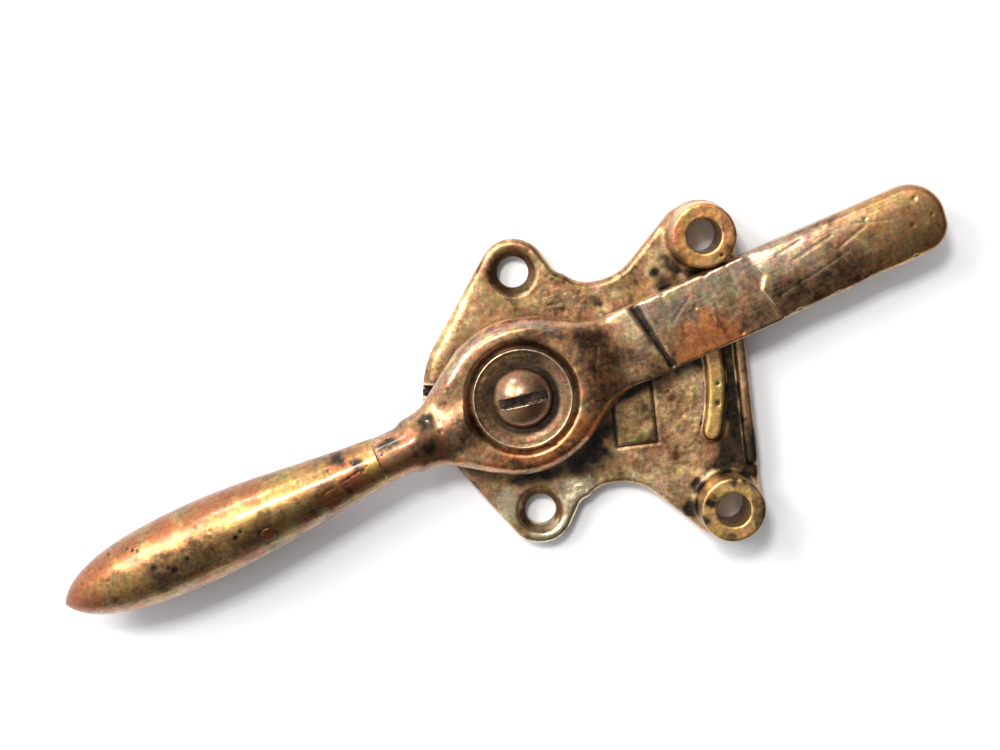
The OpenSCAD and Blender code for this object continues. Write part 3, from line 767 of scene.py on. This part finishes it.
def make_screw():
    """The screw, with a burred slot whose floor is dark."""
    points, faces, normal = cast(screw_field, *SCREW_SPACE)
    x, y, z = points.T
    along = x * cos(SLOT_ANGLE) + y * sin(SLOT_ANGLE)
    across = y * cos(SLOT_ANGLE) - x * sin(SLOT_ANGLE)
    centre = np.hypot(x, y)
    slot_floor = HEAD_Z + HEAD_H - SLOT_DEPTH
    lip = 1 - smooth(np.abs(np.abs(across) - SLOT_W / 2 - 0.05), 0.05, 0.45)
    lip = lip * smooth(normal[:, 2], 0.4, 0.8)
    lip = lip * smooth(z, slot_floor + 0.25, slot_floor + 0.5) * (centre < 5)
    burr = lip * (0.10 * noise(points, 0.55, 71) + 0.05 * (across < 0))
    on_floor = 1 - smooth(z, slot_floor + 0.05, slot_floor + 0.3)
    on_floor = on_floor * (np.abs(across) < SLOT_W / 2) * (centre < 5.2)
    out = burr + 0.02 * noise(points, 1.1, 72) + on_floor * 0.03 * noise(points, 0.4, 73)
    points = points + normal * out[:, None]
    in_slot = (np.abs(across) < SLOT_W / 2 - 0.02) * smooth(z, slot_floor - 0.3, slot_floor)
    foot = 1 - smooth(z, HEAD_Z + 0.1, HEAD_Z + 0.9)
    masks = {
        # Black in the slot and dark at the head's foot: painted shade with dirt; darker towards the head's
        # rim.
        "grime_and_shade": 1.3 * in_slot + 0.75 * foot + 0.25 * smooth(centre, 4.2, 5.4),
        # The slot's lips lightened: wear, and a painted highlight that is stronger on one lip.
        "wear_and_highlight": 0.9 * lip * (0.6 + 0.4 * noise(points, 0.6, 74)) * np.where(across < 0, 1.0, 0.75),
        "rust": 0.85 + 0 * z,
        "gold": 0 * z,
        "pale": 0.15 * smooth(along, -2, 4) * (1 - foot),
        "rough": 0 * z,
    }
    return build("pivot_screw_domed", points, faces, "plate", ["pivot_screw"], masks)


def lathe(profile, sides):
    """Points and faces of a closed ring with this section of (radius, height)."""
    angle = np.linspace(0, 2 * pi, sides, endpoint=False)
    count = len(profile)
    r, z = np.array(profile).T
    points = np.stack([
        np.outer(np.cos(angle), r).ravel(), np.outer(np.sin(angle), r).ravel(), np.tile(z, sides),
    ], axis=1)
    faces = []
    for i in range(sides):
        for j in range(count):
            a, b = i * count + j, i * count + (j + 1) % count
            c, d = ((i + 1) % sides) * count + (j + 1) % count, ((i + 1) % sides) * count + j
            faces.append((a, d, c, b))
    return points, faces


def make_washer():
    """The cup washer: a thin raised rim round a gently dished face."""
    low, seat, rim = POST_TOP, POST_TOP + CUP_SEAT_T, POST_TOP + CUP_RIM_H
    hole_r, dish_r, dish_z = SHANK_R + 0.1, CUP_R - 0.8, rim - 0.22
    section = [(hole_r, low), (CUP_R - 0.45, low), (CUP_R - 0.15, low + 0.1), (CUP_R, low + 0.4)]
    section += [(CUP_R, rim - 0.15), (CUP_R - 0.05, rim - 0.04), (CUP_R - 0.17, rim)]
    section += [(CUP_R - 0.30, rim - 0.03), (CUP_R - 0.38, rim - 0.12), (CUP_R - 0.5, rim - 0.16)]
    section += [(dish_r, dish_z)]
    section += [(r, dish_z - 0.34 * smooth(dish_r - r, 0, 1.9)) for r in np.linspace(CUP_R - 1.1, 5.6, 12)]
    section += [(5.2, seat + 0.02), (4.4, seat), (hole_r, seat)]
    points, faces = lathe(section, 200)
    x, y, z = points.T
    centre = np.hypot(x, y)
    top = z > low + 0.6
    shift = 0.025 * noise(points, 2.2, 81) + 0.012 * noise(points, 0.8, 82)
    points[:, 2] += shift * top * (centre < CUP_R - 0.4)
    nick = 1 - smooth(np.hypot(x + 6.4, y - 4.6), 0.2, 0.8)
    points[:, 2] -= 0.12 * nick * (centre > 7)
    ring = 1 - smooth(np.abs(centre - 5.6), 0.3, 1.5)
    rim_top = (1 - smooth(np.abs(centre - CUP_R + 0.17), 0.14, 0.34)) * smooth(z, rim - 0.25, rim - 0.08)
    masks = {
        # A dirt ring round the screw and at the nick; darker on the lowest part and, as painted shade,
        # towards the lower right.
        "grime_and_shade": 0.85 * ring + 0.2 * (1 - top) + 0.25 * nick + 0.25 * smooth(x - y, 3, 10) * (centre < 7.4),
        "wear_and_highlight": 0.6 * rim_top,
        "rust": 0 * z + 0.12,
        "gold": 0 * z + 0.35,
        "pale": 0 * z + 0.25,
        "rough": 0 * z + 0.15,
    }
    return build("cup_washer_turned", points, faces, "plate", ["cup_washer"], masks)


# ---- materials ----

class Shader:
    """A material being built, in millimetres: most calls add a node and return its output."""

    def __init__(self, name):
        self.material = bpy.data.materials.new(name)
        self.material.use_nodes = True
        self.nodes, self.links = self.material.node_tree.nodes, self.material.node_tree.links
        self.nodes.clear()
        self.output = self.nodes.new("ShaderNodeOutputMaterial")
        self.surface = self.nodes.new("ShaderNodeBsdfPrincipled")
        self.links.new(self.surface.outputs[0], self.output.inputs["Surface"])
        place = self.nodes.new("ShaderNodeTexCoord").outputs["Object"]
        self.place = self.stretched(place, (1 / MM, 1 / MM, 1 / MM), 0)

    def put(self, value, socket):
        if isinstance(value, bpy.types.NodeSocket):
            self.links.new(value, socket)
        elif isinstance(value, tuple) and len(value) == 3 and len(socket.default_value) == 4:
            socket.default_value = (*value, 1)
        else:
            socket.default_value = value

    def stretched(self, place, scale, turn):
        """Coordinates turned about Z by an angle and scaled along each axis."""
        spin = self.nodes.new("ShaderNodeMapping")
        spin.inputs["Rotation"].default_value = (0, 0, -turn)
        self.links.new(place, spin.inputs["Vector"])
        size = self.nodes.new("ShaderNodeMapping")
        size.inputs["Scale"].default_value = scale
        self.links.new(spin.outputs[0], size.inputs["Vector"])
        return size.outputs[0]

    def noise(self, size, detail=3, rough=0.6, place=None, shift=0.0, tinted=False):
        """Noise with features of about this many millimetres, as a value or as random colours."""
        node = self.nodes.new("ShaderNodeTexNoise")
        node.noise_dimensions = "4D"
        node.inputs["W"].default_value = shift
        node.inputs["Scale"].default_value = 1 / size
        node.inputs["Detail"].default_value = detail
        node.inputs["Roughness"].default_value = rough
        self.links.new(place or self.place, node.inputs["Vector"])
        return node.outputs[1 if tinted else 0]

    def mask(self, name):
        node = self.nodes.new("ShaderNodeAttribute")
        node.attribute_name = name
        return node.outputs["Fac"]

    def math(self, kind, a, b=0.0, c=0.0, clamp=False):
        node = self.nodes.new("ShaderNodeMath")
        node.operation, node.use_clamp = kind, clamp
        for value, socket in zip((a, b, c), node.inputs):
            self.put(value, socket)
        return node.outputs[0]

    def add(self, *values):
        total = values[0]
        for value in values[1:]:
            total = self.math("ADD", total, value)
        return total

    def times(self, a, b):
        return self.math("MULTIPLY", a, b)

    def span(self, value, low, high, start=0.0, end=1.0):
        node = self.nodes.new("ShaderNodeMapRange")
        node.interpolation_type = "SMOOTHSTEP"
        self.links.new(value, node.inputs["Value"])
        for key, number in zip(("From Min", "From Max", "To Min", "To Max"), (low, high, start, end)):
            node.inputs[key].default_value = number
        return node.outputs["Result"]

    def ring(self, x, y, half_x, half_y):
        """A thin rectangular line about a centre, in millimetres."""
        split = self.nodes.new("ShaderNodeSeparateXYZ")
        self.links.new(self.place, split.inputs[0])
        sides = []
        for value, middle, half in zip(split.outputs, (x, y), (half_x, half_y)):
            away = self.math("ABSOLUTE", self.math("SUBTRACT", value, middle))
            sides.append(self.math("SUBTRACT", away, half))
        gap = self.math("ABSOLUTE", self.math("MAXIMUM", *sides))
        return self.span(gap, 0.10, 0.24, 1.0, 0.0)

    def mix(self, share, a, b, kind="MIX"):
        node = self.nodes.new("ShaderNodeMix")
        node.data_type, node.blend_type = "RGBA", kind
        self.put(share, node.inputs[0])
        self.put(a, node.inputs[6])
        self.put(b, node.inputs[7])
        return node.outputs[2]

    def bump(self, height, strength, depth):
        node = self.nodes.new("ShaderNodeBump")
        node.inputs["Strength"].default_value = strength
        node.inputs["Distance"].default_value = depth * MM
        self.links.new(height, node.inputs["Height"])
        return node.outputs[0]


def tint(*levels):
    """Linear colour from sRGB levels out of 255."""
    return tuple((v / 255 / 12.92) if v <= 10 else ((v / 255 + 0.055) / 1.055) ** 2.4 for v in levels)


def aged_brass(name, dark, base, light, gold=(190, 148, 86), rust=(150, 92, 58), pale=(176, 160, 134),
               turn=0.0, scratch=0.3, rough=0.5, wax=0.3, border=None):
    """Old brass: mottled patina, golden, copper and silvery patches with painted sheen, painted shade and
    soiling in hollows, bright worn edges with painted highlights.
    """
    s = Shader(name)
    broad = s.noise(9, 4, 0.6)
    blotch = s.noise(3.4, 5, 0.62, shift=3)
    hue = s.noise(2.4, 5, 0.62, shift=17)
    fleck = s.noise(0.8, 4, 0.65, shift=5)
    grain = s.noise(0.26, 3, 0.7, shift=1)
    lines = s.noise(1.0, 4, 0.65, place=s.stretched(s.place, (0.10, 2.6, 2.6), turn))

    def uneven(mask, low, high, *waves):
        """The mask's area with an edge broken up by noise."""
        total = mask
        for wave, weight in waves:
            total = s.add(total, s.math("MULTIPLY_ADD", wave, weight, -0.5 * weight))
        return s.span(total, low, high)

    tone = s.add(s.times(broad, 0.42), s.times(blotch, 0.43), s.times(fleck, 0.15))
    colour = s.mix(s.span(tone, 0.40, 0.51), tint(*dark), tint(*base))
    colour = s.mix(s.span(tone, 0.50, 0.61), colour, tint(*light))
    golden = uneven(s.mask("gold"), 0.3, 0.9, (hue, 1.2), (broad, 1.0))
    colour = s.mix(s.times(golden, 0.85), colour, tint(*gold))
    rusty = uneven(s.mask("rust"), 0.3, 0.95, (blotch, 1.8), (fleck, 0.7))
    colour = s.mix(s.times(rusty, 0.85), colour, tint(*rust))
    # Silvery patches, and painted sheen where the masks put it.
    pale_and_sheen = uneven(s.mask("pale"), 0.3, 1.0, (hue, 1.2), (lines, 1.6))
    colour = s.mix(s.times(pale_and_sheen, 0.8), colour, tint(*pale))
    colour = s.mix(0.55, colour, s.noise(2.2, 4, 0.7, shift=23, tinted=True), "OVERLAY")
    colour = s.mix(0.75, colour, s.noise(0.55, 4, 0.75, shift=29, tinted=True), "OVERLAY")
    for share, wave, low, high, tone_down, tone_up in (
        (0.7, fleck, 0.34, 0.66, (0.74, 0.73, 0.72), (1.26, 1.25, 1.24)),
        (0.6, grain, 0.34, 0.66, (0.80, 0.80, 0.80), (1.22, 1.22, 1.22)),
        (scratch, lines, 0.36, 0.64, (0.74, 0.73, 0.72), (1.30, 1.30, 1.30)),
    ):
        colour = s.mix(share, colour, s.mix(s.span(wave, low, high), tone_down, tone_up), "MULTIPLY")
    # The grime mask darkens both dirt and painted shade.
    dirt_and_shade = uneven(s.mask("grime_and_shade"), 0.3, 1.05, (blotch, 1.5), (fleck, 0.8))
    specks = s.span(s.noise(1.3, 3, 0.75, shift=12), 0.67, 0.73)
    dirt_and_shade = s.math("MAXIMUM", dirt_and_shade, s.times(specks, 0.7))
    if border:
        dirt_and_shade = s.math("MAXIMUM", dirt_and_shade, s.times(s.ring(*border), 0.9))
    colour = s.mix(dirt_and_shade, colour, s.mix(s.span(fleck, 0.4, 0.65), tint(16, 13, 10), tint(56, 44, 30)))
    # Worn edges and painted highlights both lighten towards near white.
    worn = uneven(s.mask("wear_and_highlight"), 0.3, 0.85, (fleck, 0.9))
    colour = s.mix(s.times(worn, 0.85), colour, tint(236, 214, 172))
    s.put(colour, s.surface.inputs["Base Color"])

    dull = s.add(rough - 0.1, s.times(blotch, 0.2), s.times(dirt_and_shade, 0.22), s.times(s.mask("rough"), 0.08))
    bright = s.add(s.times(worn, 0.14), s.times(pale_and_sheen, 0.08))
    s.put(s.math("SUBTRACT", dull, bright, clamp=True), s.surface.inputs["Roughness"])
    s.surface.inputs["Metallic"].default_value = 0.95
    s.surface.inputs["Coat Weight"].default_value = wax
    s.surface.inputs["Coat Roughness"].default_value = 0.15
    height = s.add(s.times(fleck, 0.7), s.times(grain, s.add(0.2, s.times(s.mask("rough"), 2.2))))
    height = s.add(height, s.times(lines, scratch), s.times(dirt_and_shade, -0.35))
    s.put(s.bump(height, 0.35, 0.1), s.surface.inputs["Normal"])
    return s.material


def plain_metal(name, dark, light, rough):
    """Metal of a hidden or half hidden piece: oiled, streaky, without worn edges."""
    s = Shader(name)
    blotch = s.noise(2.5, 4, 0.6)
    fleck = s.noise(0.5, 3, 0.6, shift=4)
    turned = s.noise(1.0, 2, 0.5, place=s.stretched(s.place, (0.3, 0.3, 6), 0))
    tone = s.add(s.times(blotch, 0.6), s.times(turned, 0.4))
    colour = s.mix(s.span(tone, 0.35, 0.65), tint(*dark), tint(*light))
    colour = s.mix(s.span(fleck, 0.6, 0.75, 0.0, 0.6), colour, tint(24, 19, 15))
    s.put(colour, s.surface.inputs["Base Color"])
    s.put(s.add(rough, s.times(blotch, 0.2)), s.surface.inputs["Roughness"])
    s.surface.inputs["Metallic"].default_value = 1.0
    s.put(s.bump(s.add(fleck, s.times(turned, 0.5)), 0.4, 0.05), s.surface.inputs["Normal"])
    return s.material


def paper_material():
    """White paper, faintly cloudy and not quite flat."""
    s = Shader("white_paper")
    tone = s.span(s.noise(90, 4, 0.5), 0.3, 0.7)
    s.put(s.mix(tone, tint(243, 243, 245), tint(250, 250, 251)), s.surface.inputs["Base Color"])
    s.surface.inputs["Roughness"].default_value = 0.9
    s.surface.inputs["Specular IOR Level"].default_value = 0.1
    s.put(s.bump(s.noise(25, 5, 0.5), 0.3, 0.5), s.surface.inputs["Normal"])
    return s.material


def paint(thing, material):
    thing.data.materials.clear()
    thing.data.materials.append(material)


# ---- surroundings ----

CAMERA_PLACE = (-5.19, 40.13, 354.78)       # millimetres
CAMERA_TURN = (-5.86, -0.996, -6.791)       # degrees
LENS, SENSOR = 72, 36
AIM = Vector((0, 0, 6 * MM))
PAPER_REACH, PAPER_GAP = 4.0, 0.05 * MM
WARM_WHITE = (1.0, 0.985, 0.965)
SKY_BRIGHT_SIDE = (-0.82, 0.55, 0.15)


def make_camera():
    """The camera, above the plate and tilted a little."""
    data = bpy.data.cameras.new("camera")
    data.lens, data.sensor_width = LENS, SENSOR
    data.clip_start, data.clip_end = 0.01, 20
    camera = bpy.data.objects.new("camera", data)
    camera.location = Vector(CAMERA_PLACE) * MM
    camera.rotation_euler = Euler([radians(a) for a in CAMERA_TURN], "XYZ")
    bpy.context.scene.collection.objects.link(camera)
    bpy.context.scene.camera = camera


def make_light(name, direction, distance, size, watts, colour):
    """A soft square light that faces the object."""
    data = bpy.data.lights.new(name, "AREA")
    data.shape, data.size, data.energy, data.color = "SQUARE", size, watts, colour
    light = bpy.data.objects.new(name, data)
    toward = Vector(direction).normalized()
    light.location = AIM + toward * distance
    light.rotation_euler = (-toward).to_track_quat("-Z", "Y").to_euler()
    bpy.context.scene.collection.objects.link(light)


def make_sky():
    """A soft room: brightest towards the window at the upper left, dimmest at the lower right."""
    world = bpy.data.worlds.new("studio")
    bpy.context.scene.world = world
    world.use_nodes = True
    nodes, links = world.node_tree.nodes, world.node_tree.links
    background = nodes["Background"]
    place = nodes.new("ShaderNodeTexCoord")
    toward = nodes.new("ShaderNodeVectorMath")
    toward.operation = "DOT_PRODUCT"
    toward.inputs[1].default_value = SKY_BRIGHT_SIDE
    links.new(place.outputs["Generated"], toward.inputs[0])
    level = nodes.new("ShaderNodeMapRange")
    level.interpolation_type = "SMOOTHSTEP"
    for key, number in zip(("From Min", "From Max", "To Min", "To Max"), (-0.45, 1.0, 0.07, 1.4)):
        level.inputs[key].default_value = number
    links.new(toward.outputs["Value"], level.inputs["Value"])
    links.new(level.outputs["Result"], background.inputs["Strength"])
    background.inputs["Color"].default_value = (0.98, 0.99, 1.0, 1)


def make_surroundings():
    make_sky()
    mesh = bpy.data.meshes.new("paper")
    corners = [(x * PAPER_REACH, y * PAPER_REACH, 0) for x, y in ((-1, -1), (1, -1), (1, 1), (-1, 1))]
    mesh.from_pydata(corners, [], [(0, 1, 2, 3)])
    floor = bpy.data.objects.new("paper", mesh)
    floor.location = (0, 0, -PAPER_GAP)
    bpy.context.scene.collection.objects.link(floor)
    paint(floor, paper_material())
    make_light("window", (-0.62, 0.46, 0.64), 0.5, 0.22, 1.6, WARM_WHITE)
    make_light("lamp", (-0.15, 0.45, 0.88), 0.75, 0.13, 2.9, (1.0, 0.985, 0.96))
    make_light("low_window", (-0.4, 0.82, 0.4), 0.6, 0.1, 0.8, WARM_WHITE)
    bpy.context.scene.view_settings.view_transform = "Standard"


# ---- assembly ----

make_camera()
make_surroundings()
paint(make_plate(), aged_brass(
    "plate_patina", (92, 67, 43), (164, 126, 86), (220, 184, 138),
    gold=(214, 170, 102), rust=(194, 128, 78), rough=0.42, border=BORDER))
paint(make_lever(), aged_brass(
    "lever_patina", (96, 68, 46), (158, 118, 82), (210, 172, 128),
    gold=(178, 134, 84), rust=(224, 136, 78), turn=REST, scratch=0.28, rough=0.33, wax=0.5))
paint(make_grip(), aged_brass(
    "grip_patina", (90, 64, 42), (144, 108, 64), (184, 146, 88),
    gold=(170, 134, 76), rust=(146, 86, 52), turn=REST, rough=0.38, wax=0.45))
paint(make_pin(), aged_brass(
    "pin_patina", (84, 56, 36), (110, 74, 46), (140, 98, 62), turn=REST, rough=0.45))
paint(make_screw(), aged_brass(
    "screw_patina", (128, 94, 68), (182, 138, 102), (214, 174, 136),
    rust=(150, 108, 80), rough=0.29, wax=0.6))
paint(make_washer(), aged_brass(
    "washer_patina", (84, 64, 46), (122, 92, 64), (156, 124, 88), gold=(146, 112, 72), rough=0.42))
nodes = frame["nodes"]
paint(nodes["hub_bush"], plain_metal("bush_bronze", (138, 100, 54), (190, 148, 84), 0.3))
paint(nodes["thrust_washer"], plain_metal("thrust_bronze", (128, 92, 50), (176, 136, 80), 0.35))
paint(nodes["return_spring"], plain_metal("spring_steel", (34, 32, 32), (84, 78, 74), 0.35))
